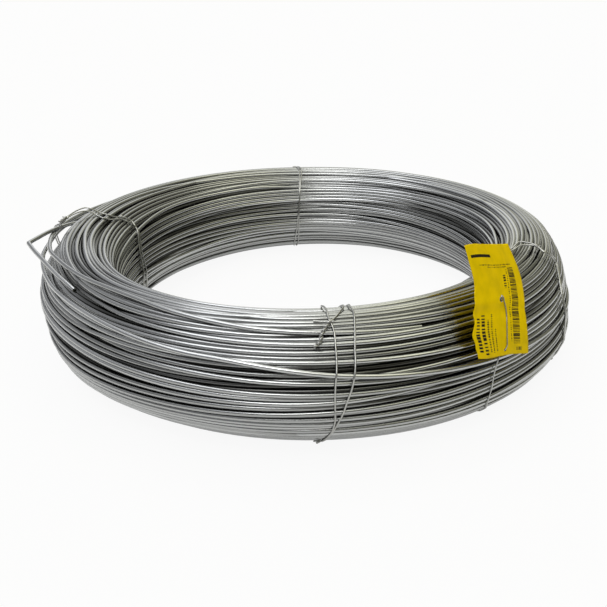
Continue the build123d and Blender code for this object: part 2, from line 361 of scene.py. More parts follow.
# How far the bundle stands outside a tidy oval, in millimetres: a row for each azimuth, with the section
# angles 0, 30, 60 and so on to 330
bundle_shape = {
    0: (-2, -2, -2, -2, -1, 0, 0, 0, 0, 0, 0, 0),
    40: (0, -1, -2, -3, -2, -1, 0, 0, 0, 0, 0, 0),
    90: (0, -2, -3, -3.5, -3, -2, -1, -2, -2.5, 0, 0, 0),
    135: (0, 0, -1, -1, -1, -1, 0, 0, -1, 0, 0, 0),
    165: (0, 0, 0, 0, 0, 0, 0, 0, 0, 0, 0, 2),
    180: (0, 0, 0, 0, -2, -7, -9, -6, 0, 0, 2, 6),
    191: (0, 0, 0, 0, -4, -14, -17, -11, -4, 0, 2, 8),
    204: (0, 0, 0, -1, -5, -16, -18, -13, -4, 0, 2, 8),
    216: (0, 0, -1, -1, -4, -11, -13, -9, -2, 0, 0, 5),
    230: (0, 0, -1, -1, -3, -4, -5, -3, 0, 0, -2, 1),
    245: (-1, -1, -1.5, -1.8, -2, -1, -1, 0, 0, -0.5, -2.8, -2),
    275: (0, -1, -1.5, -1.6, -2, -1, -1, 0, 0, 0, -1.5, -1),
    300: (0, -1, -1.5, -1.6, -2, -1, -1, 0, 0, 0, 1, 1),
    318: (-3, -4, -3, -2, -2, -1, 0, 0, 0, 0, 4, 3),
    325: (-7, -5, -2, -1, -1, 0, 0, 0, 0, 0, 7, 7),
    334: (-9, -6, -1, -1, -1, 0, 0, 0, 0, 0, 8, 8),
    348: (-9, -9, -4, -2, -1, 0, 0, 0, 0, 0, 4, 1),
}


def shape_at_stations():
    """The bundle's reach against the oval's, for every station and whole degree of the section."""
    table = np.array([list(row) + [row[0]] for row in bundle_shape.values()], float)
    azimuths = np.array(list(bundle_shape) + [360.0])
    table = np.concatenate([table, table[:1]])
    by_degree = np.array([np.interp(np.arange(360), np.arange(0, 361, 30), row) for row in table])
    at = np.arange(stations) * 360 / stations
    at_stations = [np.interp(at, azimuths, column) for column in by_degree.T]
    return 1 + np.array(at_stations).T / section_half.mean()


shape_table = shape_at_stations()
free_places = kept_free()
print("wire of", round(turns * 2 * pi * ring_radius / 1000), "m in", turns, "turns")


# %% [markdown]
# Pushing apart works on one station at a time, where each turn is a disc. Pairs of discs that overlap move
# away from each other by half of the overlap, every disc stays inside the bundle's shape and out of the
# places that are kept free, and the wire's stiffness evens out what changes too fast between stations.

# %% Pushing the turns apart
tiny, too_narrow, deepest = 1e-6, 0.5, 4.0
pair_margin, pair_rounds, calm_rounds, eagerness, stiffness = 2.5, 12, 25, 1.4, 0.5
side_clear = np.array([1.1, 0])


def close_pairs(places, reach):
    """Pairs of list positions that lie within reach of each other at the same station."""
    grid = places.reshape(turns, stations, 2)
    first, second = [], []
    for station in range(stations):
        spots = grid[:, station]
        apart = ((spots[:, None] - spots[None]) ** 2).sum(-1)
        a, b = np.nonzero(np.triu(apart < reach * reach, 1))
        first.append(a * stations + station)
        second.append(b * stations + station)
    return np.concatenate(first), np.concatenate(second)


def oval_reach(places):
    """How far out each place lies, where 1 is on the oval."""
    return np.sqrt(((places / section_half) ** 2).sum(-1))


def section_degrees(places):
    """The whole degree of the oval section at which each place lies."""
    return np.degrees(np.arctan2(*(places / section_half).T[::-1])).astype(int) % 360


def kept_inside(places, limits):
    """The places, drawn in to the bundle's shape and to the oval's width and height."""
    reach = shape_table[np.arange(len(places)) % stations, section_degrees(places)] * limits
    far = oval_reach(places) / reach
    most = section_half - side_clear
    return np.clip(places / np.maximum(far, 1)[:, None], -most, most)


def made_way(places):
    """The places after every disc has moved out of the places that are kept free."""
    grid = places.reshape(turns, stations, 2)
    columns, radius = free_places[:, 0].astype(int), free_places[:, 3]
    gap = grid[:, columns] - free_places[:, 1:3]
    apart = np.sqrt((gap**2).sum(-1)) + tiny
    overlap = np.maximum(radius + wire_diameter / 2 - apart, 0)
    overlap[:, radius <= too_narrow] = 0
    np.add.at(grid, (slice(None), columns), gap * (overlap / apart)[..., None])
    return grid.reshape(-1, 2)


def settled(places, limits, rounds, outward, straightening):
    """The places after many rounds of pushing apart, keeping inside and straightening."""
    count = len(places)
    places = kept_inside(places, limits)
    for step in range(rounds):
        if step % pair_rounds == 0:
            a, b = close_pairs(places, wire_diameter + pair_margin)
        gap = places[a] - places[b]
        apart = np.sqrt((gap**2).sum(-1)) + tiny
        overlap = np.maximum(wire_diameter - apart, 0)
        push = gap * (overlap / apart / 2)[:, None]
        touching = np.bincount(a, overlap > 0, count) + np.bincount(b, overlap > 0, count)
        share = eagerness / np.maximum(touching, 1)
        moved = [np.bincount(a, push[:, k], count) - np.bincount(b, push[:, k], count) for k in (0, 1)]
        places = places + np.stack(moved, -1) * share[:, None]
        places = made_way(places)
        last = step > rounds - calm_rounds
        places = kept_inside(places * (1 if last else outward), limits)
        for passes in range(1 if last else straightening):
            middle = (places[:-2] + places[2:]) / 2
            places[1:-1] += stiffness * (middle - places[1:-1])
    print("largest overlap", round(overlap.max(), 2), "mm, mean", round(overlap.mean(), 3), "mm")
    return places


depth = 0.5 + 0.5 * smooth_line(turns * stations, 2.3 * stations)
depth += 0.3 * smooth_line(turns * stations, stations / 3)
limits = 1 - np.clip(depth, 0, 1) * deepest / section_half.mean()
wire_places = settled(start_places, limits, rounds=200, outward=1.002, straightening=2)


# %% [markdown]
# Between the stations the wire runs on smoothly, so two more points are set between each pair with a curve
# through all of them. Then the section places are laid round the ring. The whole coil leans a few
# millimetres to one side, as it does in the photograph.

# %% From section places to a line in space
def refined(values, factor):
    """A smooth curve through the values, with `factor` points for each of them."""
    padded = np.concatenate([values[:1], values, values[-1:], values[-1:]])
    count = (len(values) - 1) * factor + 1
    at = np.arange(count) / factor
    k = at.astype(int)
    t = (at - k)[:, None]
    p0, p1, p2, p3 = (padded[k + step] for step in range(4))
    return p1 + t * (p2 - p0 + t * (2 * p0 - 5 * p1 + 4 * p2 - p3 + t * (3 * (p1 - p2) + p3 - p0))) / 2


def leaned(points):
    """Millimetres to metres, with the coil's small lean."""
    points = np.array(points, float)
    points[:, 0] += lean * (points[:, 2] - half_height)
    return points * mm


def in_space(places, azimuths):
    """Section places (outward, up) at azimuths in degrees, as points in millimetres."""
    radius = ring_radius + places[:, 0]
    angle = np.radians(azimuths)
    return np.stack([radius * np.cos(angle), radius * np.sin(angle), half_height + places[:, 1]], -1)


finer = 3
fine_places = refined(wire_places, finer)
fine_azimuths = np.arange(len(fine_places)) * 360 / (stations * finer)
wire_line = leaned(in_space(fine_places, fine_azimuths))
print("wire line from", wire_line.min(0).round(3), "to", wire_line.max(0).round(3))


# %% [markdown]
# One Geometry Nodes tree makes every wire of the model. It takes a line of points and gives a round wire of
# the wanted diameter, and it stores on the wire how far along it each spot is and on which side. The
# materials need that, because drawing marks and streaks follow the wire round the coil.

# %% Wire tree
def wire_tree():
    """A round wire along each line, with its lay stored as run, side across and side up."""
    tree = bpy.data.node_groups.new("wire_from_line", "GeometryNodeTree")
    inputs = {"Line": "Geometry", "Diameter": "Float", "Sides": "Int", "Finish": "Material"}
    for name, kind in inputs.items():
        tree.interface.new_socket(name, in_out="INPUT", socket_type="NodeSocket" + kind)
    tree.interface.new_socket("Wire", in_out="OUTPUT", socket_type="NodeSocketGeometry")

    def step(kind, entries=(), **settings):
        """What a geometry node puts out."""
        return node(tree, kind, entries, "GeometryNode", **settings).outputs

    def kept(geometry, kind, value):
        """The geometry, and a value kept on it as it is at this step."""
        keeper = node(tree, "CaptureAttribute", {0: geometry}, "GeometryNode")
        keeper.capture_items.new(kind, "kept")
        link(tree, value, keeper.inputs[1])
        return keeper.outputs[0], keeper.outputs[1]

    given = node(tree, "GroupInput", family="Node").outputs
    line = step("SetCurveNormal", {0: step("MeshToCurve", {0: given["Line"]})[0]}, mode="Z_UP")[0]
    line, run = kept(line, "FLOAT", step("SplineParameter")["Length"])
    radius = calc(tree, "DIVIDE", given["Diameter"], 2)
    ring = step("CurvePrimitiveCircle", {"Radius": radius, "Resolution": given["Sides"]})[0]
    side = node(tree, "VectorMath", {0: step("InputPosition")[0]}, operation="NORMALIZE").outputs[0]
    ring, side = kept(ring, "VECTOR", side)
    across, up = node(tree, "SeparateXYZ", {0: side}).outputs[:2]
    lay = node(tree, "CombineXYZ", {"X": run, "Y": across, "Z": up}).outputs[0]
    wire = step("CurveToMesh", {"Curve": line, "Profile Curve": ring, "Fill Caps": True})[0]
    wire = step("StoreNamedAttribute", {"Geometry": wire, "Name": "lay", "Value": lay},
                data_type="FLOAT_VECTOR", domain="POINT")[0]
    wire = step("RealizeInstances", {0: step("SetShadeSmooth", {0: wire})[0]})[0]
    wire = step("SetMaterial", {"Geometry": wire, "Material": given["Finish"]})[0]
    link(tree, wire, node(tree, "GroupOutput", family="Node").inputs[0])
    return tree


wire_from_line = wire_tree()
wire_sides = 8


def wire_piece(name, lines, diameter, finish, tones=None):
    """A plain mesh object of round wires along lines in metres, with a tone kept at each point."""
    points = np.concatenate(lines)
    edges, start = [], 0
    for line in lines:
        ids = np.arange(start, start + len(line))
        edges.append(np.stack([ids[:-1], ids[1:]], -1))
        start += len(line)
    mesh = bpy.data.meshes.new(name + "_line")
    mesh.from_pydata(points.tolist(), np.concatenate(edges).tolist(), [])
    if tones is not None:
        mesh.attributes.new("tone", "FLOAT", "POINT").data.foreach_set("value", tones.astype(np.float32))
    source = in_scene(name + "_line", mesh)
    modifier = source.modifiers.new("wire", "NODES")
    modifier.node_group = wire_from_line
    sockets = {s.name: s.identifier for s in wire_from_line.interface.items_tree if s.in_out == "INPUT"}
    modifier[sockets["Diameter"]] = diameter * mm
    modifier[sockets["Sides"]] = wire_sides
    modifier[sockets["Finish"]] = finish
    depsgraph = bpy.context.evaluated_depsgraph_get()
    made = bpy.data.meshes.new_from_object(source.evaluated_get(depsgraph))
    source.modifiers.remove(modifier)
    bpy.data.objects.remove(source)
    made.name = name
    print(name, "has", len(made.polygons), "faces")
    return in_scene(name, made)


# %% [markdown]
# Hot dip galvanised wire is a light grey metal with a soft shine. Drawing leaves fine lines along it, the
# zinc runs in long streaks that are a little brighter or duller, and each stretch has its own slight tone.
# Deeper in the bundle a mark for depth darkens the colour: painted shade for the shadow between the turns.
# The streaks come from one node group that reads the lay, so that they follow each turn round the coil.

# %% Zinc finish
def shader_group(name, inputs, outputs):
    """A shader node group with named sockets: the group, what its inlet gives and what its outlet takes."""
    group = bpy.data.node_groups.new(name, "ShaderNodeTree")
    for way, sockets in (("INPUT", inputs), ("OUTPUT", outputs)):
        for label, kind in sockets.items():
            group.interface.new_socket(label, in_out=way, socket_type="NodeSocket" + kind)
    return group, group.nodes.new("NodeGroupInput").outputs, group.nodes.new("NodeGroupOutput").inputs


def streak_group(line_run):
    """Long streaks and fine lines along a wire, from its stored lay."""
    group, given, result = shader_group(
        "wire_streaks", {"Lay": "Vector", "Streak Length": "Float", "Line Count": "Float"},
        {"Streaks": "Float", "Lines": "Float"})
    x, y, z = node(group, "SeparateXYZ", {0: given["Lay"]}).outputs
    run = calc(group, "DIVIDE", x, given["Streak Length"])
    around = node(group, "CombineXYZ", {"X": run, "Y": y, "Z": z}).outputs[0]
    count = given["Line Count"]
    counts = node(group, "CombineXYZ", {"X": line_run, "Y": count, "Z": count}).outputs[0]
    fine_place = node(group, "VectorMath", {0: around, 1: counts}, operation="MULTIPLY").outputs[0]
    for name, place, detail in (("Streaks", around, 3.0), ("Lines", fine_place, 2.0)):
        noise = node(group, "TexNoise", {"Vector": place, "Scale": 1.0, "Detail": detail})
        link(group, noise.outputs[0], result[name])
    return group


wire_streaks = streak_group(0.6)
# The dark grey of the painted shade deep between the turns
painted_shade_grey = (0.065, 0.065, 0.06, 1)
tone_reach = (0.25, 1.25)
line_reach = (0.3, 0.7)


def zinc_finish(name, dull, bright, rough, rough_spread, streak_length):
    """Zinc-coated wire between two greys, with streaks in its colour and roughness, and painted shade by
    depth.
    """
    finish, tree, surface = new_finish(name)
    surface.inputs["Metallic"].default_value = 1.0
    lay, tone, deep = (node(tree, "Attribute", attribute_name=label) for label in ("lay", "tone", "deep"))
    streaks = node(tree, "Group", {"Lay": lay.outputs["Vector"], "Streak Length": streak_length,
                                   "Line Count": 5.0}, node_tree=wire_streaks)
    lines = streaks.outputs["Lines"]
    total = calc(tree, "ADD", streaks.outputs["Streaks"], tone.outputs["Fac"])
    colour = node(tree, "MapRange", {6: total, 7: tone_reach[:1] * 3, 8: tone_reach[1:] * 3, 9: dull,
                                     10: bright}, data_type="FLOAT_VECTOR")
    # Painted shade: the depth mark mixes the colour towards the dark grey deep in the bundle
    shaded = mixed(tree, deep.outputs["Fac"], colour.outputs[1], painted_shade_grey)
    roughness = node(tree, "MapRange", {"Value": lines, "From Min": line_reach[0], "From Max": line_reach[1],
                                        "To Min": rough - rough_spread, "To Max": rough + rough_spread})
    bump = node(tree, "Bump", {"Strength": 0.15, "Distance": 0.0002, "Height": lines})
    link(tree, shaded, surface.inputs["Base Color"])
    link(tree, roughness.outputs["Result"], surface.inputs["Roughness"])
    link(tree, bump.outputs[0], surface.inputs["Normal"])
    return finish


coil_zinc = zinc_finish("coil_zinc", (0.42, 0.425, 0.42), (0.76, 0.77, 0.77), 0.19, 0.05, 0.12)
tie_zinc = zinc_finish("tie_zinc", (0.42, 0.42, 0.40), (0.72, 0.72, 0.69), 0.26, 0.06, 0.02)


# %% [markdown]
# The long wire is cut into four lengths only to keep each mesh small. Every length starts where the one
# before it ends, so that the joints don't show.

# %% Coil in four lengths
def surface_at_stations(reach):
    """How far out the outermost turns lie, for every station and whole degree of the section."""
    far, degree = oval_reach(wire_places), section_degrees(wire_places)
    station = np.arange(len(wire_places)) % stations
    table = np.zeros((stations, 360))
    for step in range(-reach, reach + 1):
        np.maximum.at(table, (station, (degree + step) % 360), far)
    table = sum(np.roll(table, step, 1) for step in range(-reach, reach + 1)) / (2 * reach + 1)
    return sum(np.roll(table, step, 0) for step in (-1, 0, 1)) / 3


def mark_painted_shade(piece, clean, dark, back_shade_relief):
    """Store a painted shade mask from how deep under the turns' surface each spot lies: 0 down to `clean`
    mm, 1 from `dark` mm on.
    """
    spots = np.empty(len(piece.data.vertices) * 3)
    piece.data.vertices.foreach_get("co", spots)
    x, y, z = spots.reshape(-1, 3).T / mm
    x = x - lean * (z - half_height)
    places = np.stack([np.hypot(x, y) - ring_radius, z - half_height], -1)
    station = np.degrees(np.arctan2(y, x)) % 360 * stations / 360
    degree = section_degrees(places)
    low = station.astype(int) % stations
    share = station - station.astype(int)
    surface = surface_table[low, degree] * (1 - share) + surface_table[(low + 1) % stations, degree] * share
    buried = (surface - oval_reach(places)) * section_half.mean() + wire_diameter / 2
    mark = np.clip((buried - clean) / (dark - clean), 0, 1)
    # Less painted shade towards the back of the coil
    mark *= 1 - back_shade_relief * np.maximum(y / np.hypot(x, y), 0) ** 2
    piece.data.attributes.new("deep", "FLOAT", "POINT").data.foreach_set("value", mark.astype(np.float32))


def coil_length(index, count):
    """One of the equal lengths of the long wire."""
    last = len(wire_line) - 1
    first_point, end_point = last * index // count, last * (index + 1) // count
    piece = wire_piece(f"coil_turns_{index + 1}", [wire_line[first_point:end_point + 1]], wire_diameter,
                       coil_zinc, turn_tones[first_point:end_point + 1])
    # Painted shade for the turns that lie deep in the bundle
    mark_painted_shade(piece, clean=1.0, dark=4.4, back_shade_relief=0.45)
    return piece


def slipped_piece(name, knots, tone_spread):
    """A turn that slipped out of the bundle."""
    azimuths = np.arange(knots[0][0], knots[-1][0], 360 / stations / finer)
    line = leaned(in_space(knotted(knots, azimuths), azimuths))
    return wire_piece(f"coil_{name}_turn", [line], wire_diameter, coil_zinc,
                      tone_spread * smooth_line(len(line), stations))


def loose_end(points, order):
    """The wire's free end, through points in millimetres, rounded at its bends."""
    curve = bpy.data.curves.new("loose_end_line", "CURVE")
    curve.dimensions = "3D"
    spline = curve.splines.new("NURBS")
    spline.points.add(len(points) - 1)
    for spot, point in zip(spline.points, leaned(points)):
        spot.co = (*point, 1)
    spline.use_endpoint_u = True
    spline.order_u = order
    curve.resolution_u = 12
    holder = bpy.data.objects.new("loose_end_line", curve)
    line = bpy.data.meshes.new_from_object(holder)
    places = np.array([vertex.co[:] for vertex in line.vertices])
    bpy.data.objects.remove(holder)
    return wire_piece("coil_loose_end", [places], wire_diameter, coil_zinc)


turn_tones = 0.17 * smooth_line(len(wire_line), stations * finer * 0.8)
surface_table = surface_at_stations(12)
coil_pieces = [coil_length(index, 4) for index in range(4)]
coil_pieces += [slipped_piece(name, knots, 0.1) for name, knots in slipped_turns.items()]
coil_pieces.append(loose_end(
    [(-216, 66, 92), (-236, 48, 99), (-250, 27, 105), (-261, 7, 108), (-269, -19, 110), (-273, -48, 111.5),
     (-274.3, -59, 112), (-274.3, -60.5, 112), (-271, -66, 112), (-261, -82, 111.5), (-246, -103, 110.5),
     (-227, -129, 107.5), (-213, -143, 103.5), (-205, -151, 100.5)], 3))
for piece in coil_pieces:
    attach(piece, "root")
    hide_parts("wire_coil")


# %% [markdown]
# The ties are soft thin wire, bent double and pulled tight round the section before their ends are twisted
# together. A tight wire bridges the hollows between turns and touches only what stands out most, so its
# path is the tight hull round all the discs at its azimuth.

# %% Tight hull round the turns
hull_angles = np.radians(np.arange(0, 360, 2))
hull_facing = np.stack([np.cos(hull_angles), np.sin(hull_angles)], -1)
least_facing = 0.1


def discs_at(azimuth):
    """Section places of all turns, the slipped ones too, at an azimuth."""
    azimuth = azimuth % 360
    at = azimuth / 360 * stations * finer + np.arange(turns) * stations * finer
    at = at[at < len(fine_places) - 1]
    k = at.astype(int)
    t = (at - k)[:, None]
    discs = [fine_places[k] * (1 - t) + fine_places[k + 1] * t]
    for knots in slipped_turns.values():
        discs += [knotted(knots, np.array([turn])) for turn in (azimuth, azimuth + 360)
                  if knots[0][0] <= turn <= knots[-1][0]]
    return np.concatenate(discs)


def tight_point(azimuth, section_angle, clear):
    """The point of a wire pulled tight over the turns, at an angle of the oval section."""
    toward = np.array([half_width * cos(radians(section_angle)), half_height * sin(radians(section_angle))])
    toward /= np.hypot(*toward)
    reach = (discs_at(azimuth) @ hull_facing.T).max(0) + wire_diameter / 2 + clear
    facing = hull_facing @ toward
    ahead = facing > least_facing
    place = toward * (reach[ahead] / facing[ahead]).min()
    place = np.maximum(place, (-half_width * 2, clear - half_height))
    place = np.minimum(place, (half_width - clear, half_height * 2))
    return in_space(place[None], azimuth)[0]


def tight_line(route, thickness):
    """A wire pulled tight through rows of (section angle, azimuth, lift if any), from high angles to low."""
    rows = np.array([(*row, 0)[:3] for row in route]) * (-1, 1, 1)
    samples = np.arange(rows[0, 0], rows[-1, 0] + 1, 2.0)
    return np.array([tight_point(azimuth, -run, thickness / 2 + max(lift, 0))
                     for run, (azimuth, lift) in zip(samples, knotted(rows, samples))])


def smooth_through(points, spacing):
    """A smooth line through points in millimetres, with a point about every `spacing` millimetres."""
    points = np.array(points, float)
    run = np.concatenate([[0], np.cumsum(np.linalg.norm(np.diff(points, axis=0), axis=1))])
    return knotted(np.column_stack([run, points]), np.linspace(0, run[-1], int(run[-1] / spacing) + 2))


twist_points, twist_spread = 12, 0.62


def twisted(points, thickness, pitch):
    """Two wires twisted round each other along a line of points in millimetres."""
    middle = smooth_through(points, pitch / twist_points)
    along = np.gradient(middle, axis=0)
    along /= np.linalg.norm(along, axis=1)[:, None]
    side = np.cross(along, (0.3, 0.2, 1))
    side /= np.linalg.norm(side, axis=1)[:, None]
    over = np.cross(along, side)
    lines = []
    for start in (0, pi):
        turn = (start + np.arange(len(middle)) / twist_points * 2 * pi)[:, None]
        lines.append(middle + (side * np.cos(turn) + over * np.sin(turn)) * thickness * twist_spread)
    return lines


def tangle(middle, size):
    """A small knot: one closed line that crosses itself three times."""
    t = np.linspace(0, 2 * pi, 60)[:, None]
    loops = np.hstack([np.sin(t) + 2 * np.sin(2 * t), np.cos(t) - 2 * np.cos(2 * t), -np.sin(3 * t)])
    return np.array(middle) + loops * size / 3


# %% [markdown]
# The four ties differ, because a hand made them. The front one goes round twice and its twisted tail lies on
# the turns. The left one stands off in a small arch before it goes down inside. Each row gives a section
# angle, an azimuth and, where it isn't nought, how far the wire is lifted off the turns there.

# %% Tie routes
tie_diameter = 1.5
tie_strands = {
    "tie_front": [
        [(110, -81.8), (101, -81.8, 1.8), (95, -81.8, 1.4), (86, -81.6), (70, -82), (46, -82.8),
         (31, -83.2), (16, -84), (3, -85), (-10, -86), (-22, -87), (-42, -88.8), (-60, -89.6), (-90, -89),
         (-180, -83.6), (-250, -81.8)],
        [(73, -86.2, 0.6), (66, -85.9), (47, -85.9), (32, -86.1), (14, -86.7), (-5, -87), (-18, -87.2),
         (-32, -88), (-46, -89.2, 0.5), (-60, -90.2), (-90, -90), (-180, -85), (-250, -83.2),
         (-260, -83, 1.8), (-268, -83.5, 1.2), (-279, -84.9), (-287, -86.1, 0.8)],
        [(290, -91.2, 0.6), (270, -91), (180, -88), (120, -87.4), (105, -87.3, 1.4), (98, -87, 2.6),
         (90, -86.6, 1.4), (82, -86.5), (73, -86.3, 0.8)],
        [(76, -89.2), (74, -88, 0.4), (72.5, -86.2, 1.2)],
    ],
    "tie_right": [
        [(115, -29), (106, -26.8, 0.6), (101, -24.8, 3.4), (91, -24.5, 3.4), (79, -25, 2.6),
         (69, -26, 2.4), (60, -25, 2), (52, -23.6, 1), (44, -25.4), (33, -28), (18, -30), (0, -30.5),
         (-26, -30.5), (-50, -32), (-90, -33), (-180, -31), (-245, -29)],
        [(113, -29.8), (103, -28, 0.4), (98, -26.4, 2.4), (90, -25.6, 2.4), (80, -25.4, 2.8),
         (69, -26.4, 2.4), (60, -25.6, 1.6), (52, -24.2), (44, -26), (33, -28.6), (18, -30.6), (0, -31.2),
         (-26, -31.4), (-50, -33), (-90, -34), (-180, -32), (-247, -29.8)],
    ],
    "tie_back": [
        [(120, 93.2), (98, 93, 1.6), (85, 93.6), (0, 94.6), (-90, 98), (-132, 98.2), (-175, 96.5),
         (-195, 95.4), (-215, 94.3), (-240, 93.2)],
        [(120, 93.9), (98, 93.7, 1.2), (85, 94.4), (0, 95.6), (-90, 97.4), (-132, 96.8), (-175, 96),
         (-195, 95.2), (-215, 94.6), (-240, 93.9)],
    ],
    "tie_left": [
        [(66, 180.2, 6.4), (60, 180, 3), (40, 178), (0, 174), (-90, 174), (-144, 175), (-160, 175.8),
         (-180, 174.4), (-196, 173.4), (-210, 171.6), (-224, 169.4), (-235, 168.8), (-243, 170.9),
         (-249, 173), (-259, 173.8), (-267, 174, 0.8), (-276, 174.4, 5.5), (-282, 174.6, 7.4),
         (-288, 176.8, 8), (-294, 180, 7)],
        [(64, 180.8, 6), (58, 180.6, 3), (40, 179), (0, 174), (-90, 172.6), (-144, 172.2), (-162, 173.4),
         (-180, 172.7), (-194, 172.3), (-208, 170.9), (-222, 169.6), (-235, 170.4), (-243, 172.3),
         (-248, 175), (-257, 176.8), (-266, 175.9), (-275, 175.8, 3.8), (-283, 176.6, 6.2),
         (-289, 178.6, 6.8), (-294, 180.6, 6.4)],
    ],
}
tie_tails = {
    "tie_front": [(73, -86.2, 1.6), (67, -87.1, 0.9), (59, -88, 0.9), (53, -88.4, 0.9), (48.5, -89.4, 0.7)],
    "tie_right": [(80, -25.3, 3.0), (78, -24.2, 2.2), (77, -23.2, 1.0)],
    "tie_back": [(62, 95, 0.9), (52, 95.4, 0.9), (44, 95.2, 0.9)],
    "tie_left": [(66, 180.4, 6.6), (64.5, 181.6, 7.0), (61, 182.6, 6.2)],
}

tie_knots = {
    "tie_front": [(73, -86.2, 1.4, 1.3), (-52, -90.4, 0.8, 1.5)],
    "tie_right": [(80, -25.4, 2.8, 1.6), (-46, -31.9, 0.6, 1.3)],
    "tie_back": [(64, 95, 1.2, 1.5)],
    "tie_left": [(65.5, 180.6, 7.4, 2.6), (-243, 171.3, 1.2, 1.4)],
}

for name, strands in tie_strands.items():
    lines = [tight_line(route, tie_diameter) for route in strands]
    lines += [tangle(tight_point(azimuth, angle, tie_diameter / 2 + lift), size)
              for angle, azimuth, lift, size in tie_knots[name]]
    tail = [tight_point(azimuth, angle, tie_diameter / 2 + lift) for angle, azimuth, lift in tie_tails[name]]
    lines += twisted(tail, tie_diameter, 8.0)
    piece = wire_piece(name + "_wires", [leaned(line) for line in lines], tie_diameter, tie_zinc)
    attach(piece, "root")
    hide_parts(name)


# %% [markdown]
# The tag is thin laminated card that hangs on its own wire and has been bent and creased on the way. A flat
# box would look dead, so the card is a fine grid over three columns of five places each. Each place is
# measured on the flat tag of the construction model: how far aside, how far up and how far off it stands.

# %% Card of the tag
tag_height, tag_azimuth, tag_angle = 92.0, -54.5, 56.0
tag_lift, tag_pitch, tag_roll, tag_bend = 9.28, 61.5, 14.0, 25.0
tag_out = Vector((cos(radians(tag_azimuth)), sin(radians(tag_azimuth)), 0))
tag_across = Matrix.Rotation(radians(-tag_roll), 3, tag_out) @ Vector((0, 0, 1)).cross(tag_out)
tag_face = Matrix.Rotation(radians(tag_pitch - 90), 3, tag_across) @ tag_out
tag_up = tag_face.cross(tag_across)


def card_point(aside, up, off):
    """A point by its place on the tag, in millimetres: aside and up from its hole, and off its face."""
    angle = radians(tag_angle)
    middle = (tag_out * (ring_radius + (half_width + tag_lift) * cos(angle))
              + Vector((0, 0, half_height + (half_height + tag_lift) * sin(angle))))
    radius = tag_height / radians(tag_bend)
    turn = up / radius
    return np.array(middle + tag_across * aside + tag_up * ((radius + off) * sin(turn))
                    + tag_face * ((radius + off) * cos(turn) - radius))


print("tag's hole at", card_point(0, 0, 0).round(1))

# Left edge, middle and right edge from the bottom of the card to its top
card_places = np.array([
    [(-30.4, -45.8, -3.0), (-3.6, -45.9, 0.2), (25.3, -45.2, 2.9)],
    [(-33.4, -22.8, -4.0), (-4.0, -22.9, 0.8), (22.5, -22.5, 6.0)],
    [(-27.2, -0.9, -3.0), (0.8, -0.7, 0.4), (28.4, -0.6, 3.6)],
    [(-22.8, 21.6, -2.0), (5.4, 22.4, 0.2), (33.2, 22.6, 1.9)],
    [(-24.4, 45.0, 0.0), (4.6, 47.2, 0.8), (31.6, 46.8, 1.3)],
])


def crease(at, place, width):
    """A smooth rise to 1 at a place, gone some widths from it."""
    return np.exp(-((at - place) / width) ** 2)


def card_shape(across_count, up_count):
    """Card places on a fine grid, with the edge's small tears and the card's soft creases."""
    spread = np.linspace(0, 1, across_count)
    rise = np.linspace(0, 1, up_count)
    fifths = np.linspace(0, 1, 5)
    rows = np.stack([knotted(np.column_stack([fifths, card_places[:, k]]), rise) for k in range(3)])
    grid = np.stack([knotted(np.column_stack([(0, 0.5, 1), row]), spread) for row in rows.swapaxes(0, 1)])
    near_left = np.clip(1 - spread * 4, 0, 1) ** 2
    near_right = np.clip(1 - (1 - spread) * 5, 0, 1) ** 2
    tears = (2.6 * crease(rise, 0.20, 0.05) - 1.2 * crease(rise, 0.32, 0.04)
             + 0.8 * crease(rise, 0.09, 0.03) + 0.6 * np.sin(rise * 17))
    grid[:, :, 0] -= tears[:, None] * near_left
    grid[:, :, 0] += (0.5 * np.sin(rise * 11 + 1))[:, None] * near_right
    u, v = np.meshgrid(spread, rise)
    grid[:, :, 2] += 1.3 * crease(v - 0.47 - 0.05 * u, 0, 0.05) * (1 - u) - 0.7 * crease(v, 0.40, 0.05)
    grid[:, :, 2] += 0.8 * np.sin(v * 9 + u * 5) * (1 - u) * (1 - v) + 0.35 * np.sin(u * 13 + v * 6)
    grid[:, :, 1] += 0.7 * np.sin(u * 7 + 0.5) * (v - 0.5) * 2
    return grid


def card_mesh(name, thickness, across_count=45, up_count=70):
    """A closed thin card with a UV map that runs from 0 to 1 across and up."""
    shape = card_shape(across_count, up_count)
    u, v = np.meshgrid(np.linspace(0, 1, across_count), np.linspace(0, 1, up_count))
    uvs = np.tile(np.stack([u.ravel(), v.ravel()], -1), (2, 1))
    vertices = [card_point(aside, up, off + side * thickness)
                for side in (0.5, -0.5) for aside, up, off in shape.reshape(-1, 3)]
    count = across_count * up_count
    spot = np.arange(count).reshape(up_count, across_count)
    quads = np.stack([spot[:-1, :-1], spot[:-1, 1:], spot[1:, 1:], spot[1:, :-1]], -1).reshape(-1, 4)
    faces = np.stack([quads, quads[:, [0, 3, 2, 1]] + count], 1).reshape(-1, 4).tolist()
    ring = np.concatenate([spot[0], spot[1:, -1], spot[-1, -2::-1], spot[-2:0:-1, 0]]).tolist()
    faces += [(a, a + count, b + count, b) for a, b in zip(ring, ring[1:] + ring[:1])]
    mesh = bpy.data.meshes.new(name)
    mesh.from_pydata(leaned(vertices).tolist(), [], faces)
    corners = [loop.vertex_index for loop in mesh.loops]
    mesh.uv_layers.new(name="card").data.foreach_set("uv", uvs[corners].ravel())
    mesh.shade_smooth()
    return mesh


# %% [markdown]
# The card is printed in black on yellow with plain bars: a row of bars of random widths down the right
# side, and lines of short strokes where a tag has its small print. One node group makes a block of such
# strokes from the card's own UV map, and each block has its own middle, half size, direction, count and
# filling. The block with one stroke is the solid bar at the top.

# %% Card print
stroke_spread, stroke_drop = 0.55, 0.28


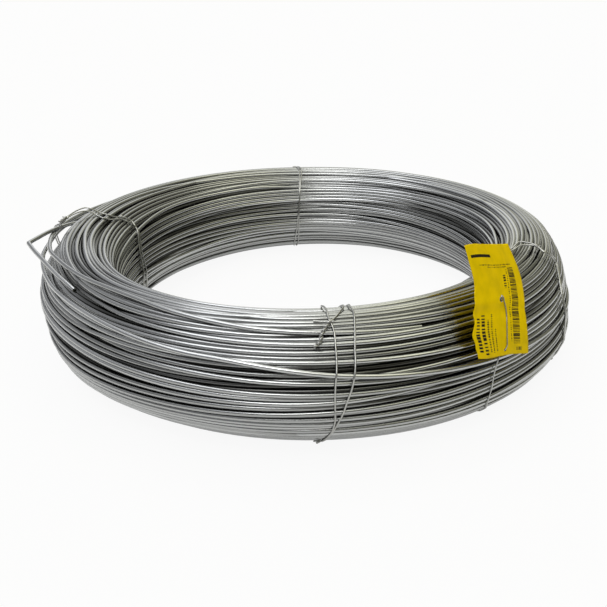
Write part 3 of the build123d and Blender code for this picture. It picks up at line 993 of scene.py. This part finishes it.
def stroke_group():
    """A block of random strokes on a UV map, in a box round its middle, at a count and filling along it."""
    group, given, result = shader_group(
        "print_strokes", {"Map": "Vector", "Middle": "Vector", "Half Size": "Vector", "Along": "Vector",
                          "Count": "Float", "Filling": "Float"}, {"Mask": "Float"})
    spot, middle, half = (node(group, "SeparateXYZ", {0: given[label]}).outputs
                          for label in ("Map", "Middle", "Half Size"))
    across, up = (calc(group, "COMPARE", spot[k], middle[k], half[k]) for k in (0, 1))
    along = node(group, "VectorMath", {0: given["Map"], 1: given["Along"]}, operation="DOT_PRODUCT")
    run = calc(group, "MULTIPLY", along.outputs["Value"], given["Count"])
    seed = node(group, "CombineXYZ", {"X": calc(group, "FLOOR", run), "Y": middle[0]})
    chance = node(group, "TexWhiteNoise", {"Vector": seed.outputs[0]}, noise_dimensions="2D")
    thinnest = calc(group, "SUBTRACT", given["Filling"], stroke_drop)
    width = calc(group, "MULTIPLY_ADD", chance.outputs["Value"], stroke_spread, thinnest)
    drawn = calc(group, "LESS_THAN", calc(group, "FRACT", run), width)
    link(group, calc(group, "MULTIPLY", calc(group, "MULTIPLY", across, up), drawn), result["Mask"])
    return group


print_strokes = stroke_group()
upward, sideways = (0, 1, 0), (1, 0, 0)
print_blocks = [
    (0.79, 0.44, 0.064, 0.345, upward, 76, 0.62),
    (0.63, 0.665, 0.024, 0.060, upward, 42, 0.58),
    (0.69, 0.44, 0.009, 0.33, upward, 60, 0.42),
    (0.50, 0.815, 0.330, 0.005, sideways, 50, 0.55),
    (0.52, 0.795, 0.200, 0.005, sideways, 50, 0.55),
    (0.08, 0.20, 0.030, 0.15, upward, 36, 0.62),
    (0.18, 0.21, 0.032, 0.18, upward, 33, 0.62),
    (0.27, 0.19, 0.014, 0.14, upward, 46, 0.56),
    (0.33, 0.21, 0.011, 0.17, upward, 54, 0.50),
    (0.39, 0.15, 0.009, 0.10, upward, 60, 0.50),
    (0.26, 0.895, 0.200, 0.013, sideways, 1, 1.1),
    (0.83, 0.05, 0.055, 0.016, sideways, 60, 0.60),
]


def printed_card(name, yellow, ink):
    """Yellow card, faded in patches, with every block of strokes printed on it."""
    finish, tree, surface = new_finish(name)
    surface.inputs["Roughness"].default_value = 0.42
    surface.inputs["Specular IOR Level"].default_value = 0.05
    place = node(tree, "UVMap", uv_map="card").outputs[0]
    mask = 0.0
    for x, y, half_x, half_y, along, count, filling in print_blocks:
        block = node(tree, "Group", {"Map": place, "Middle": (x, y, 0), "Half Size": (half_x, half_y, 0),
                                     "Along": along, "Count": count, "Filling": filling},
                     node_tree=print_strokes)
        mask = calc(tree, "MAXIMUM", mask, block.outputs[0])
    wear = node(tree, "TexNoise", {"Vector": place, "Scale": 7.0, "Detail": 5.0})
    worn = eased(tree, wear.outputs[0], 0.35, 0.75)
    faded = mixed(tree, worn, yellow, tuple(0.86 * part for part in yellow))
    link(tree, mixed(tree, mask, faded, ink), surface.inputs["Base Color"])
    return finish


def punch_through(card, name, place, width, sides=24):
    """Cut a round hole of some millimetres through the card, at a place on it."""
    base, tip = (leaned([card_point(*place, off)])[0] for off in (-6, 8))
    axis = Vector(tip - base)
    turn = axis.to_track_quat("Z", "Y").to_matrix()
    ring = [(cos(a) * width * mm / 2, sin(a) * width * mm / 2) for a in np.arange(sides) * 2 * pi / sides]
    spots = [Vector(base) + turn @ Vector((x, y, z)) for z in (0, axis.length) for x, y in ring]
    walls = [(k, (k + 1) % sides, (k + 1) % sides + sides, k + sides) for k in range(sides)]
    mesh = bpy.data.meshes.new(name)
    mesh.from_pydata(spots, [], walls + [tuple(range(sides - 1, -1, -1)), tuple(range(sides, 2 * sides))])
    cut = card.modifiers.new(name, "BOOLEAN")
    cut.object, cut.operation, cut.solver = in_scene(name, mesh), "DIFFERENCE", "EXACT"


def finished_tag():
    """The printed card with its two holes cut out."""
    mesh = card_mesh("tag_card", 0.4)
    mesh.materials.append(printed_card("tag_print", (0.86, 0.60, 0.001, 1), (0.02, 0.018, 0.012, 1)))
    card = in_scene("tag_card_whole", mesh)
    punch_through(card, "upper_punch", (0.9, -0.7), 4.0)
    punch_through(card, "lower_punch", (-1.6, -41.0), 2.6)
    made = bpy.data.meshes.new_from_object(card.evaluated_get(bpy.context.evaluated_depsgraph_get()))
    made.name = "tag_card"
    for cut in list(card.modifiers):
        bpy.data.objects.remove(cut.object)
    bpy.data.objects.remove(card)
    print("tag card has", len(made.polygons), "faces")
    return in_scene("tag_card", made)


tag = finished_tag()
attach(tag, "root")
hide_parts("tag")


# %% [markdown]
# The tag's wire goes round the bundle too. It comes up behind the card, through the hole with a small hook,
# runs down the face, dives back through a smaller hole near the lower edge and follows the turns round.

# %% Tag's wire
tag_tie_diameter = 1.1
front_run = [card_point(*place) for place in (
    (0.6, -1.2, -4), (0.7, -0.9, -1.5), (0.9, -0.5, 1), (0.2, 1.2, 2.4), (1, 2.6, 2.4), (2.4, 1.6, 2.2),
    (3, -2, 2), (3.6, -6, 1.8), (3.4, -13, 1.8), (1.9, -20, 2), (0.4, -30, 2), (-1, -38.5, 1.9),
    (-1.6, -41, 0.6), (-1.8, -43, -1.2))]
low_run = tight_line([(16, -57.2, 0.2), (10, -57.9), (0, -58.5), (-15, -58.7), (-27, -59), (-46, -57.6),
                      (-70, -57), (-90, -55), (-180, -47), (-240, -47), (-280, -50)], tag_tie_diameter)
tag_wire_lines = [smooth_through(front_run, 0.7), low_run,
                  smooth_through([front_run[-1], low_run[0]], 1.5),
                  smooth_through([low_run[-1], front_run[0]], 2)]
piece = wire_piece("tag_tie_wire", [leaned(line) for line in tag_wire_lines], tag_tie_diameter, tie_zinc)
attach(piece, "root")
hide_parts("tag_tie")
